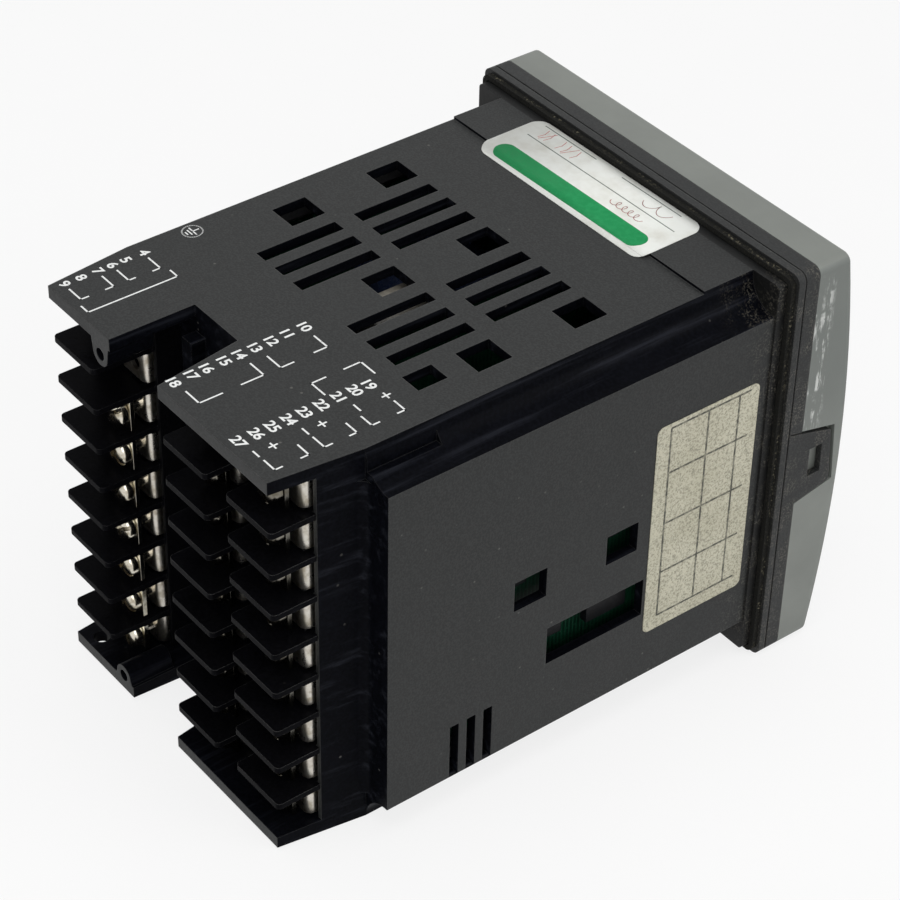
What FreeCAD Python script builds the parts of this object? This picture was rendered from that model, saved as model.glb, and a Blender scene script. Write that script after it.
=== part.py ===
import FreeCAD, Part
import math
import os

# Panel mounted temperature controller with a 96 x 96 front.
# +X is the far side, -Y the front, +Z up. The origin is the centre of the panel face,
# where the rear face of the flange meets the panel. All sizes are in millimetres.

# Front
front_size = 96.0
front_corner = 2.0
flange_depth = 5.3
flange_rear_strip = 1.8
flange_groove = 0.4
bezel_side_depth = 8.1
bezel_crown = 4.0
bezel_wall = 2.2
bezel_edge_round = 1.0
bezel_gap = 0.1
seal_thickness = 1.5
seal_width = 2.0

# Gasket and rim
gasket_thickness = 1.2
gasket_inset = 0.8
gasket_gap = 0.2
rim_depth = 3.1

# Sleeve
flange_reach = 2.7
sleeve_depth = 94.3
sleeve_wall = 2.2
rear_wall = 2.0
cove_radius = 6.8
front_band_depth = 15.5
front_band_rise = 0.6
rail_slot_width = 2.0
rail_slot_length = 15.3

# Vents in the top and bottom
vent_slot_length = 18.4
vent_slot_width = 3.1
vent_slot_first = 8.6
vent_slot_pitch = 6.03
vent_row_from_rear = 27.9
vent_row_pitch = 22.9
square_vent_length = 7.8
square_vent_width = 7.0
square_vent_spacing = 29.2
square_row_from_rear = 33.5
square_row_pitch = 22.6
small_vent_width = 5.0
small_vent_length = 6.6
small_vent_from_rear = 20.8

# Vents in the sides
side_window_height = 7.1
long_window_length = 24.3
long_window_height = 9.2
long_window_from_rear = 50.3
long_window_drop = 16.9
comb_slot_width = 2.1
comb_slot_pitch = 4.05
comb_slot_top = 25.2
comb_from_rear = 20.0

# Latch tabs on both sides of the flange
latch_reach = 9.3
latch_thickness = 1.4
latch_top_root = 8.3
latch_top_tip = 5.8
latch_bottom_root = 9.4
latch_bottom_tip = 7.2
latch_window_length = 3.4
latch_window_height = 7.0
latch_window_from_flange = 2.9
latch_gap = 0.3
latch_top_gap = 0.9
latch_slit = 0.35
latch_slit_length = 3.1

# Hoods over the terminals
hood_depth_right = 19.3
hood_depth_left = 18.8
hood_plate = 2.8
hood_floor = 2.6
hood_floor_rise = 1.1
hood_taper = 2.2
hood_side_wall = 1.1
hood_side_length = 9.7
hood_side_fillet = 2.2
hood_width_right = 39.5
hood_width_left = 23.4
notch_right_slant = 2.9
notch_rib_width = 3.2
notch_rib_length = 3.2
boss_radius = 2.5
boss_hole_radius = 1.3
boss_length = 10.0
boss_from_edge = 3.5
boss_drop = 2.6
floor_hole_radius = 1.75
floor_hole_from_side = 6.4
floor_hole_from_rear = 3.2
floor_rib_height = 0.8
floor_rib_width = 1.0
floor_rib_length = 8.7

# Terminal blocks
bay_count = 9
fin_thickness = 1.3
fin_corner = 1.0
fin_proud = 0.2
block_base = 2.0
block_clearance = 0.1
left_seat = 6.6
middle_seat = 9.7
right_seat = 10.8
left_fin_inset = 2.7
left_fin_width = 14.2
middle_fin_width = 14.0
middle_fin_spacing = 6.3
right_fin_inset = 1.3
right_fin_width = 14.3
near_wall = 1.0
near_wall_length = 5.7
left_plate_inset = 0.6
middle_plate_inset = 3.3
right_plate_inset = 1.6
screw_from_plate_left = 3.4
screw_from_plate_middle = 3.4
screw_from_plate_right = 5.3

# Terminals
plate_thickness = 0.8
plate_height = 6.6
plate_bend = 1.6
plate_beyond_screw = 4.2
leg_height = 5.0
leg_end = 6.3
leg_clearance = 0.3
washer_size = 6.8
washer_thickness = 1.0
left_washer_stand = 2.8
middle_washer_stand = 1.4
right_washer_stand = 1.3
screw_radius = 1.5
screw_fit = 0.05
screw_reach = 6.0
head_radius = 3.2
head_height = 2.4
head_sides = 12
shank_sides = 6
head_slot_width = 0.9
head_slot_depth = 1.0
bare_bay = 1

# Labels
sticker_width = 50.1
sticker_length = 16.3
sticker_corner = 3.0
sticker_offset = 2.2
label_length = 25.9
label_height = 51.5
label_corner = 1.5
label_from_flange = 5.2
label_drop = 1.3
paper = 0.15

# Window and displays in the bezel
window_side_margin = 14.0
window_height = 33.0
window_from_top = 27.0
window_corner = 2.5
window_recess = 0.3
window_lip = 1.5
window_lip_thickness = 1.0
window_gap = 0.15
seat_gap = 0.05
display_side_margin = 6.0
upper_display_height = 15.0
upper_display_rise = 7.6
lower_display_height = 11.0
lower_display_drop = 8.0
display_gap = 0.4

# Keys
key_side_margin = 12.0
key_spacing = 3.0
key_height = 10.0
key_corner = 2.0
key_row_pitch = 16.4
key_row_from_bottom = 19.0
key_rise = 0.5
key_gap = 0.3
key_lip = 0.9
key_lip_thickness = 1.0
key_travel = 0.8
key_post_radius = 3.0
mat_thickness = 1.0
mat_pad = 7.0
mat_pad_height = 2.4
mat_margin = 1.0

# Chassis that slides out with the bezel
slide_gap = 0.4
frame_plate = 2.0
frame_front = 4.8
frame_rail = 2.0
frame_rail_reach = 9.2
frame_window_margin = 9.0
boss_post_radius = 2.8
boss_post_from_side = 8.7
boss_post_from_edge = 17.0
boss_screw_length = 7.0
frame_head_radius = 2.8
frame_head_height = 2.0
board = 1.6
display_board_margin = 0.5
side_board_inset = 3.3
side_board_gap = 0.3
middle_board_x = -8.2
rear_board_from_wall = 12.7
connector_width = 5.2
connector_depth = 8.4
connector_slot_depth = 4.8
connector_end_margin = 1.15

# Components on the boards
relay_length = 18.0
relay_width = 11.0
relay_height = 14.5
relay_from_rear = 36.3
relay_top_gap = 2.4
core_length = 30.0
core_height = 26.0
core_stack = 14.0
core_from_rear = 64.3
core_drop = 14.0
winding_overhang = 4.0
capacitor_radius = 7.0
capacitor_length = 22.0
capacitor_pitch = 16.0
capacitor_row = 20.0
capacitor_rise = 14.0
sink_length = 26.0
sink_height = 24.0
sink_base = 2.0
sink_fin = 1.4
sink_fin_reach = 9.0
sink_fins = 5
sink_from_rear = 30.3
sink_drop = 16.0
chip_height = 1.8
chip_length = 12.0
chip_width = 10.0
chip_row = 24.0
chip_row_pitch = 26.0
chip_rise = 18.0
chip_drop = 14.0
main_chip = 14.0
main_chip_rise = 18.0
driver_chip_length = 10.0
driver_chip_width = 7.0
driver_chip_offset = 6.0
small_chip_length = 5.0
small_chip_width = 4.0
small_chip_offset = 8.0

# Worked out from the values above
front_half = front_size / 2
sleeve_half = front_half - flange_reach
vent_row_rear = sleeve_depth - vent_row_from_rear
vent_row_front = vent_row_rear - vent_row_pitch
square_row_rear = sleeve_depth - square_row_from_rear
square_row_front = square_row_rear - square_row_pitch
small_vent_row = sleeve_depth - small_vent_from_rear
long_window_row = sleeve_depth - long_window_from_rear
comb_row = sleeve_depth - comb_from_rear
rear_board_face = sleeve_depth - rear_wall - rear_board_from_wall
relay_row = sleeve_depth - relay_from_rear
core_row = sleeve_depth - core_from_rear
sink_row = sleeve_depth - sink_from_rear
rim_half = sleeve_half + front_band_rise
inner_half = sleeve_half - sleeve_wall
flat_half = sleeve_half - cove_radius
notch_right_edge = hood_width_right - flat_half
notch_left_edge = flat_half - hood_width_left
left_fin_far = flat_half - left_fin_inset
left_fin_near = left_fin_far - left_fin_width
right_fin_near = right_fin_inset - flat_half
right_fin_far = right_fin_near + right_fin_width
middle_fin_near = right_fin_far + middle_fin_spacing
middle_fin_far = middle_fin_near + middle_fin_width
left_plate_near = left_fin_near + left_plate_inset
middle_plate_near = middle_fin_near + middle_plate_inset
right_plate_near = right_fin_near + right_plate_inset
chassis_half = inner_half - slide_gap
chassis_cove = cove_radius + sleeve_wall + slide_gap
bezel_half = front_half - bezel_wall
bezel_rear = -flange_depth - bezel_gap
bezel_depth = flange_depth + bezel_side_depth + bezel_crown
boss_post_x = front_half - boss_post_from_side
boss_post_z = front_half - boss_post_from_edge
window_width = front_size - 2 * window_side_margin
window_centre = front_half - window_from_top
display_width = window_width - 2 * display_side_margin
key_pitch = (front_size - 2 * key_side_margin) / 4
key_width = key_pitch - key_spacing
key_row_lower = key_row_from_bottom - front_half
key_row_upper = key_row_lower + key_row_pitch
crown_radius = (front_half ** 2 + bezel_crown ** 2) / (2 * bezel_crown)
crown_axis = crown_radius - bezel_depth
hood_top = sleeve_half - hood_plate
hood_bottom = -sleeve_half + hood_floor_rise + hood_floor
bay_pitch = (hood_top - hood_bottom + fin_thickness) / bay_count
fin_centre = hood_top - bay_pitch + fin_thickness / 2
connector_height = bay_pitch * (bay_count - 1) + 2 * connector_end_margin
latch_tip = -flange_depth - latch_reach
leg_tip = sleeve_depth - rear_wall - leg_end


def vector(x, y, z):
    return FreeCAD.Vector(x, y, z)


def block(x_low, x_high, y_low, y_high, z_low, z_high):
    """A box between two corners."""
    size = (x_high - x_low, y_high - y_low, z_high - z_low)
    return Part.makeBox(*size, vector(x_low, y_low, z_low))


def rod(radius, length, start, direction):
    return Part.makeCylinder(radius, length, start, direction)


def faceted_rod(sides, radius, length, start):
    """A small rod along Y with flat sides, for fasteners that repeat many times."""
    corners = []
    for corner in range(sides):
        angle = 2 * math.pi * (corner + 0.5) / sides
        corners.append(start + vector(radius * math.cos(angle), 0, radius * math.sin(angle)))
    return prism(corners, vector(0, length, 0))


def prism(outline, travel):
    """A closed outline of straight sides, pushed along a vector."""
    wire = Part.makePolygon(outline + outline[:1])
    return Part.Face(wire).extrude(travel)


def plan_prism(outline, z_low, z_high):
    """An outline of (x, y) points, pushed up from one height to another."""
    points = [vector(x, y, z_low) for x, y in outline]
    return prism(points, vector(0, 0, z_high - z_low))


def side_prism(outline, x_low, x_high):
    """An outline of (y, z) points, pushed across from one x to another."""
    points = [vector(x_low, y, z) for y, z in outline]
    return prism(points, vector(x_high - x_low, 0, 0))


def edges_along(shape, axis):
    """The straight edges of a shape that run along an axis."""
    found = []
    for edge in shape.Edges:
        if len(edge.Vertexes) == 2 and isinstance(edge.Curve, Part.Line):
            if abs(edge.Curve.Direction.dot(axis)) > 0.999:
                found.append(edge)
    return found


def rounded_plate(half_x, half_z, corner, y_low, y_high, x=0.0, z=0.0):
    """A plate across the Y axis with four rounded corners."""
    plate = block(x - half_x, x + half_x, y_low, y_high, z - half_z, z + half_z)
    return plate.makeFillet(corner, edges_along(plate, vector(0, 1, 0)))


def coved(half, cove, y_low, y_high):
    """A square bar along Y whose long corners are hollowed by quarter coves."""
    bar = block(-half, half, y_low, y_high, -half, half)
    for x in (-sleeve_half, sleeve_half):
        for z in (-sleeve_half, sleeve_half):
            bar = bar.cut(rod(cove, y_high - y_low, vector(x, y_low, z), vector(0, 1, 0)))
    return bar


def under_crown(inset):
    """Everything behind the crowned face once it is moved back by an inset."""
    start = vector(-front_size, crown_axis, 0)
    return rod(crown_radius - inset, 2 * front_size, start, vector(1, 0, 0))


def crown_band(shape, outer_inset, inner_inset):
    """The part of a shape that lies between two depths below the crowned face."""
    return shape.common(under_crown(outer_inset)).cut(under_crown(inner_inset))


def crown_y(z, inset=0.0):
    """Where the crowned face lies at a height, moved back by an inset."""
    return crown_axis - math.sqrt((crown_radius - inset) ** 2 - z ** 2)


def hood_side(y):
    """Half width of the hoods, which taper towards the rear."""
    return flat_half - hood_taper * (y - sleeve_depth) / hood_depth_right


def bay_centre(bay):
    return fin_centre + bay_pitch / 2 - bay_pitch * bay


def fin_level(fin):
    return fin_centre - bay_pitch * fin


def fuse(pieces):
    return pieces[0].multiFuse(pieces[1:]).removeSplitter()


def group(pieces):
    """Several solids that stay apart, for one file or for one cut."""
    return Part.makeCompound(pieces)


def save(name, shape):
    shape.exportStep("parts/" + name + ".step")


# Columns of terminals: the seat is the distance from the sleeve to the face that
# carries the plates, near and far are the ends of the fins.
columns = (
    {"seat": left_seat, "stand": left_washer_stand, "fin_near": left_fin_near,
     "fin_far": left_fin_far, "plate_near": left_plate_near,
     "screw": left_plate_near + screw_from_plate_left, "depth": hood_depth_left},
    {"seat": middle_seat, "stand": middle_washer_stand, "fin_near": middle_fin_near,
     "fin_far": middle_fin_far, "plate_near": middle_plate_near,
     "screw": middle_plate_near + screw_from_plate_middle, "depth": hood_depth_right},
    {"seat": right_seat, "stand": right_washer_stand, "fin_near": right_fin_near,
     "fin_far": right_fin_far, "plate_near": right_plate_near,
     "screw": right_plate_near + screw_from_plate_right, "depth": hood_depth_right},
)


def latch_outline(top_gap, front_gap, bottom_gap):
    """The tab's outline as (y, z) points, grown by a gap on each side."""
    root = -flange_depth
    return [
        (root, latch_top_root + top_gap),
        (latch_tip + 1.0 - front_gap, latch_top_tip + top_gap),
        (latch_tip - front_gap, -latch_bottom_tip - bottom_gap),
        (root, -latch_bottom_root - bottom_gap),
    ]


def make_latch(side):
    """A flexible tab that stands forward from the flange, flush with its side."""
    outer = side * front_half
    inner = side * (front_half - latch_thickness)
    tab = side_prism(latch_outline(0, 0, 0), inner, outer)
    corners = [edge for edge in edges_along(tab, vector(1, 0, 0))
               if edge.CenterOfMass.y < -flange_depth - latch_reach / 2]
    tab = tab.makeFillet(latch_thickness / 2, corners)
    window_rear = -flange_depth - latch_window_from_flange
    half = latch_window_height / 2
    window = block(-front_size, front_size, window_rear - latch_window_length, window_rear,
                   -half - latch_slit, half - latch_slit)
    return tab.cut(window)


def latch_slit_cut(side):
    """The slit through the flange that frees the top edge of a tab."""
    slant = (latch_top_root - latch_top_tip) / latch_reach
    high = latch_top_root + slant * latch_slit_length
    outline = [
        (-flange_depth - latch_slit, latch_top_root),
        (-flange_depth - latch_slit, latch_top_root + latch_slit),
        (-flange_depth + latch_slit_length, high + latch_slit),
        (-flange_depth + latch_slit_length, high),
    ]
    inner = side * (front_half - latch_thickness)
    return side_prism(outline, inner, side * (front_half + latch_thickness))


def make_flange():
    flange = rounded_plate(front_half, front_half, front_corner, -flange_depth, 0)
    groove_y = -flange_rear_strip
    around = rounded_plate(front_half + 1, front_half + 1, front_corner + 1,
                           groove_y - flange_groove / 2, groove_y + flange_groove / 2)
    bottom = rounded_plate(front_half - flange_groove, front_half - flange_groove,
                           front_corner - flange_groove,
                           groove_y - flange_groove / 2, groove_y + flange_groove / 2)
    flange = flange.cut(around.cut(bottom))
    tabs = [make_latch(-1), make_latch(1)]
    flange = flange.multiFuse(tabs)
    return flange.cut(latch_slit_cut(-1)).cut(latch_slit_cut(1))


def make_hood(plan, depth):
    """Top plate and floor of one hood, cut to a plan of (x, y) points."""
    rear = sleeve_depth + depth
    start = sleeve_depth - rear_wall
    top = [(start, hood_top), (rear, hood_top), (rear, sleeve_half), (start, sleeve_half)]
    underside = -sleeve_half + hood_floor_rise
    floor = [(start, -sleeve_half), (sleeve_depth, -sleeve_half), (rear, underside),
             (rear, hood_bottom), (start, hood_bottom)]
    column = plan_prism(plan, -front_size, front_size)
    return [column.common(side_prism(top, -front_size, front_size)),
            column.common(side_prism(floor, -front_size, front_size))]


def make_hood_wall(side):
    """A drafted outer wall between top plate and floor, blended into the sleeve's end."""
    start = sleeve_depth - rear_wall / 2
    end = sleeve_depth + hood_side_length
    outline = [
        (side * hood_side(start), start), (side * hood_side(end), end),
        (side * (hood_side(end) - hood_side_wall), end),
        (side * (hood_side(start) - hood_side_wall), start),
    ]
    wall = plan_prism(outline, hood_bottom, hood_top)
    radius = hood_side_fillet
    foot = side * (hood_side(sleeve_depth) - hood_side_wall / 2)
    outer = side * (hood_side(sleeve_depth + radius) + radius)
    corner = block(min(foot, outer), max(foot, outer), start, sleeve_depth + radius,
                   -flat_half, flat_half)
    hollow = rod(radius, 2 * flat_half, vector(outer, sleeve_depth + radius, -flat_half),
                 vector(0, 0, 1))
    return wall.fuse(corner.cut(hollow))


def make_boss(x, z, towards):
    """A teardrop boss along Y that hangs from a hood plate, towards is +1 or -1."""
    rear = sleeve_depth + hood_depth_left
    start = rear - boss_length
    face = hood_top if towards > 0 else hood_bottom
    barrel = rod(boss_radius, boss_length, vector(x, start, z), vector(0, 1, 0))
    flare = [
        vector(x - boss_radius, start, z), vector(x + boss_radius, start, z),
        vector(x + boss_radius * 1.2, start, face + 0.2 * towards),
        vector(x - boss_radius * 1.2, start, face + 0.2 * towards),
    ]
    return barrel.fuse(prism(flare, vector(0, boss_length, 0)))


boss_x = notch_left_edge + boss_from_edge
boss_high = hood_top - boss_drop
boss_low = hood_bottom + boss_drop * 0.35
hood_rear_left = sleeve_depth + hood_depth_left
hood_rear_right = sleeve_depth + hood_depth_right


def hood_cutouts():
    """Boss holes, the hole in the left floor and the slots that pass the terminal legs."""
    cuts = []
    for z in (boss_high, boss_low):
        start = vector(boss_x, hood_rear_left - boss_length, z)
        cuts.append(rod(boss_hole_radius, boss_length + 1, start, vector(0, 1, 0)))
    hole_x = flat_half - floor_hole_from_side
    start = vector(hole_x, hood_rear_left - floor_hole_from_rear, -front_size)
    cuts.append(rod(floor_hole_radius, front_size, start, vector(0, 0, 1)))
    for column in columns:
        near = column["plate_near"] - 4 * leg_clearance
        far = column["plate_near"] + plate_thickness + 4 * leg_clearance
        cuts.append(block(near, far, sleeve_depth - rear_wall - 1, sleeve_depth + 1,
                          bay_centre(bay_count - 1) - plate_height / 2,
                          bay_centre(0) + plate_height / 2))
    return cuts


def top_vents():
    """Slots and square holes that go through the top and the bottom alike."""
    cuts = []
    for y in (vent_row_front, vent_row_rear):
        for place in range(3):
            offset = vent_slot_first + vent_slot_pitch * place
            for x in (-offset, offset):
                cuts.append(block(x - vent_slot_width / 2, x + vent_slot_width / 2,
                                  y - vent_slot_length / 2, y + vent_slot_length / 2,
                                  -front_size, front_size))
    for y in (square_row_front, square_row_rear):
        for x in (-square_vent_spacing, 0, square_vent_spacing):
            cuts.append(block(x - square_vent_width / 2, x + square_vent_width / 2,
                              y - square_vent_length / 2, y + square_vent_length / 2,
                              -front_size, front_size))
    x = -square_vent_spacing + square_vent_width / 2 - small_vent_width / 2
    cuts.append(block(x - small_vent_width / 2, x + small_vent_width / 2,
                      small_vent_row - small_vent_length / 2,
                      small_vent_row + small_vent_length / 2, -front_size, front_size))
    return cuts


def side_vents():
    """Windows and a comb of slots that go through both side walls."""
    cuts = []
    for y in (square_row_front, square_row_rear):
        cuts.append(block(-front_size, front_size,
                          y - square_vent_length / 2, y + square_vent_length / 2,
                          -side_window_height / 2, side_window_height / 2))
    cuts.append(block(-front_size, front_size,
                      long_window_row - long_window_length / 2,
                      long_window_row + long_window_length / 2,
                      -long_window_drop - long_window_height / 2,
                      -long_window_drop + long_window_height / 2))
    for place in (-1, 0, 1):
        y = comb_row + place * comb_slot_pitch
        cuts.append(block(-front_size, front_size,
                          y - comb_slot_width / 2, y + comb_slot_width / 2,
                          -flat_half, -comb_slot_top))
    return cuts


def rail_slots():
    """A short slot near the rear of each upper cove."""
    cuts = []
    depth = cove_radius * 0.66
    for side in (-1, 1):
        x = side * (sleeve_half - cove_radius * 0.78)
        cuts.append(block(x - rail_slot_width / 2, x + rail_slot_width / 2,
                          sleeve_depth - rail_slot_length, sleeve_depth + 1,
                          sleeve_half - depth - 0.5, sleeve_half - depth + 3))
    return cuts


def make_case():
    """Flange, rim, coved sleeve and terminal hoods in one moulding."""
    rear_half = hood_side(hood_rear_right)
    right_plan = [
        (-flat_half, sleeve_depth - rear_wall), (-flat_half, sleeve_depth),
        (-rear_half, hood_rear_right),
        (notch_right_edge - notch_right_slant, hood_rear_right),
        (notch_right_edge, sleeve_depth), (notch_right_edge, sleeve_depth - rear_wall),
    ]
    left_plan = [
        (notch_left_edge, sleeve_depth - rear_wall), (notch_left_edge, hood_rear_left),
        (hood_side(hood_rear_left), hood_rear_left), (flat_half, sleeve_depth),
        (flat_half, sleeve_depth - rear_wall),
    ]
    band = block(-flat_half, flat_half, 0, front_band_depth,
                 -sleeve_half - front_band_rise, sleeve_half + front_band_rise)
    shell = [
        make_flange(),
        rounded_plate(rim_half, rim_half, front_corner / 2, 0, rim_depth),
        coved(sleeve_half, cove_radius, 0, sleeve_depth),
        band,
    ]
    shell += make_hood(right_plan, hood_depth_right)
    shell += make_hood(left_plan, hood_depth_left)
    shell += [make_hood_wall(-1), make_hood_wall(1)]
    shell += [make_boss(boss_x, boss_high, 1), make_boss(boss_x, boss_low, -1)]
    shell.append(block(notch_left_edge - notch_rib_width, notch_left_edge,
                       sleeve_depth - rear_wall / 2, sleeve_depth + notch_rib_length,
                       hood_bottom + 1, hood_top - notch_rib_width))
    rib_x = left_fin_near - near_wall
    shell.append(block(rib_x, rib_x + floor_rib_width,
                       hood_rear_left - 1.5 - floor_rib_length, hood_rear_left - 1.5,
                       hood_bottom - 0.5, hood_bottom + floor_rib_height))
    case = shell[0].multiFuse(shell[1:])
    cavity = coved(inner_half, cove_radius + sleeve_wall, -flange_depth - 1,
                   sleeve_depth - rear_wall)
    case = case.cut(cavity)
    case = case.cut(group(top_vents() + side_vents()))
    return case.cut(group(hood_cutouts() + rail_slots())).removeSplitter()


def make_gasket():
    outer = front_half - gasket_inset
    inner = rim_half + gasket_gap
    ring = rounded_plate(outer, outer, front_corner, 0, gasket_thickness)
    return ring.cut(rounded_plate(inner, inner, front_corner / 2, -1, gasket_thickness + 1))


def fin_outline(column, outer_side):
    """One fin as (x, y) points; the end beside a hood wall stands back until the wall ends."""
    near = column["fin_near"]
    far = column["fin_far"]
    base = sleeve_depth
    rear = sleeve_depth + column["depth"] + fin_proud
    if outer_side == 0:
        return [(near, base), (near, rear), (far, rear), (far, base)]
    edge = near if outer_side < 0 else far
    other = far if outer_side < 0 else near
    wall_end = sleeve_depth + hood_side_length + block_clearance
    inside = outer_side * (hood_side(wall_end) - hood_side_wall - block_clearance)
    inside = max(edge, inside) if outer_side < 0 else min(edge, inside)
    return [(other, base), (inside, base), (inside, wall_end), (edge, wall_end),
            (edge, rear), (other, rear)]


def make_column(column, outer_side):
    """Fins and the body between them for one column of terminals."""
    seat = sleeve_depth + column["seat"]
    rear = sleeve_depth + column["depth"] + fin_proud
    body_near = column["plate_near"] + plate_thickness + block_clearance
    body_far = column["fin_far"]
    if outer_side > 0:
        wall_end = sleeve_depth + hood_side_length
        body_far = min(body_far, hood_side(wall_end) - hood_side_wall - block_clearance)
    top = hood_top - block_clearance
    bottom = hood_bottom + block_clearance
    pieces = [block(body_near, body_far, sleeve_depth, seat, bottom, top)]
    for fin in range(bay_count - 1):
        low = fin_level(fin) - fin_thickness / 2
        plate = plan_prism(fin_outline(column, outer_side), low, low + fin_thickness)
        corners = [edge for edge in edges_along(plate, vector(0, 0, 1))
                   if edge.CenterOfMass.y > rear - 0.01]
        pieces.append(plate.makeFillet(fin_corner, corners))
    return pieces


def screw_groove(column):
    """An upright groove in the seat that clears the ends of the terminal screws."""
    seat = sleeve_depth + column["seat"]
    half = screw_radius + 4 * screw_fit
    return block(column["screw"] - half, column["screw"] + half, seat - screw_reach, seat + 1,
                 bay_centre(bay_count - 1) - 2 * half, bay_centre(0) + 2 * half)


def leg_slots(column):
    """Slots in the base of a block that pass the terminal legs."""
    slots = []
    half = leg_height / 2 + leg_clearance
    for bay in range(bay_count):
        z = bay_centre(bay)
        slots.append(block(column["plate_near"] - leg_clearance,
                           column["plate_near"] + plate_thickness + block_clearance,
                           sleeve_depth - 1, sleeve_depth + block_base + 1, z - half, z + half))
    return slots


def make_block_left():
    """Finned moulding of the left hood, with a wall that covers the legs."""
    column = columns[0]
    top = hood_top - block_clearance
    bottom = hood_bottom + block_clearance
    near = column["fin_near"] - near_wall
    far = hood_side(sleeve_depth + hood_side_length) - hood_side_wall - block_clearance
    pieces = make_column(column, 1)
    pieces.append(block(near, far, sleeve_depth, sleeve_depth + block_base, bottom, top))
    pieces.append(block(near, column["fin_near"], sleeve_depth,
                        sleeve_depth + near_wall_length, bottom, top))
    return fuse(pieces).cut(group([screw_groove(column)] + leg_slots(column)))


def make_block_right():
    """Finned moulding of the right hood, with two columns and a wire channel between."""
    middle = columns[1]
    right = columns[2]
    top = hood_top - block_clearance
    bottom = hood_bottom + block_clearance
    near = -hood_side(sleeve_depth + hood_side_length) + hood_side_wall + block_clearance
    pieces = make_column(middle, 0) + make_column(right, -1)
    pieces.append(block(near, middle["fin_far"], sleeve_depth,
                        sleeve_depth + block_base, bottom, top))
    cuts = [screw_groove(middle), screw_groove(right)] + leg_slots(middle) + leg_slots(right)
    return fuse(pieces).cut(group(cuts))


def make_terminal_plate(column, z):
    """A plate across the seat that bends forward into a narrower leg."""
    face = sleeve_depth + column["seat"]
    near = column["plate_near"]
    outline = [(near, leg_tip), (near, face + plate_thickness),
               (column["screw"] + plate_beyond_screw, face + plate_thickness),
               (column["screw"] + plate_beyond_screw, face),
               (near + plate_thickness, face), (near + plate_thickness, leg_tip)]
    half = plate_height / 2
    strip = plan_prism(outline, z - half, z + half)
    bend = [edge for edge in edges_along(strip, vector(0, 0, 1))
            if abs(edge.CenterOfMass.x - near) < 0.01 and edge.CenterOfMass.y > face]
    strip = strip.makeFillet(plate_bend, bend)
    trim_rear = sleeve_depth + block_base + leg_clearance + 1
    for low, high in ((leg_height / 2, plate_height), (-plate_height, -leg_height / 2)):
        strip = strip.cut(block(near - 1, near + plate_thickness + 0.01, leg_tip - 1,
                                trim_rear, z + low, z + high))
    start = vector(column["screw"], face - 1, z)
    if column is columns[0] and z == bay_centre(bare_bay):
        hole = rod(screw_radius + screw_fit, plate_thickness + 2, start, vector(0, 1, 0))
    else:
        hole = faceted_rod(shank_sides, screw_radius + screw_fit, plate_thickness + 2, start)
    return strip.cut(hole)


def make_terminal_plates():
    return [make_terminal_plate(column, bay_centre(bay))
            for column in columns for bay in range(bay_count)]


def screw_places():
    """Where each screw's washer starts, clear of its plate; one bay has lost its screw."""
    places = []
    for column in columns:
        face = sleeve_depth + column["seat"] + plate_thickness + column["stand"]
        for bay in range(bay_count):
            if column is not columns[0] or bay != bare_bay:
                places.append(vector(column["screw"], face, bay_centre(bay)))
    return places


def make_square_washer(place):
    half = washer_size / 2
    plate = block(place.x - half, place.x + half, place.y, place.y + washer_thickness,
                  place.z - half, place.z + half)
    start = place - vector(0, 1, 0)
    return plate.cut(faceted_rod(shank_sides, screw_radius + 2 * screw_fit,
                                 washer_thickness + 2, start))


def make_terminal_screw(place):
    """A slotted screw backed out until its washer stands clear of the plate."""
    y = place.y + washer_thickness
    shank_start = place.y - plate_thickness - screw_reach
    shank = faceted_rod(shank_sides, screw_radius, y - shank_start,
                        vector(place.x, shank_start, place.z))
    head = faceted_rod(head_sides, head_radius, head_height, vector(place.x, y, place.z))
    slot = block(place.x - head_radius, place.x + head_radius,
                 y + head_height - head_slot_depth, y + head_height + 1,
                 place.z - head_slot_width / 2, place.z + head_slot_width / 2)
    return shank.fuse(head).cut(slot)


def make_top_sticker():
    """Paper laid over the front band and down its step."""
    start = gasket_thickness + gasket_gap
    half = sticker_width / 2
    high = sleeve_half + front_band_rise
    end = start + sticker_length
    sheet = [
        (start, high), (front_band_depth + paper, high),
        (front_band_depth + paper, sleeve_half), (end, sleeve_half),
        (end, sleeve_half + paper), (front_band_depth + 2 * paper, sleeve_half + paper),
        (front_band_depth + 2 * paper, high + paper), (start, high + paper),
    ]
    paper_sheet = side_prism(sheet, sticker_offset - half, sticker_offset + half)
    outline = block(sticker_offset - half, sticker_offset + half, start, end,
                    sleeve_half - 1, high + 1)
    outline = outline.makeFillet(sticker_corner, edges_along(outline, vector(0, 0, 1)))
    return paper_sheet.common(outline)


def make_side_label():
    half = label_height / 2
    x = -sleeve_half
    sheet = block(x - paper, x, label_from_flange, label_from_flange + label_length,
                  -label_drop - half, -label_drop + half)
    return sheet.makeFillet(label_corner, edges_along(sheet, vector(1, 0, 0)))


def key_places():
    """Centres of the keys as (x, z), left to right as the user sees them."""
    places = []
    for z in (key_row_upper, key_row_lower):
        for place in (-1.5, -0.5, 0.5, 1.5):
            places.append((place * key_pitch, z))
    return places


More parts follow.
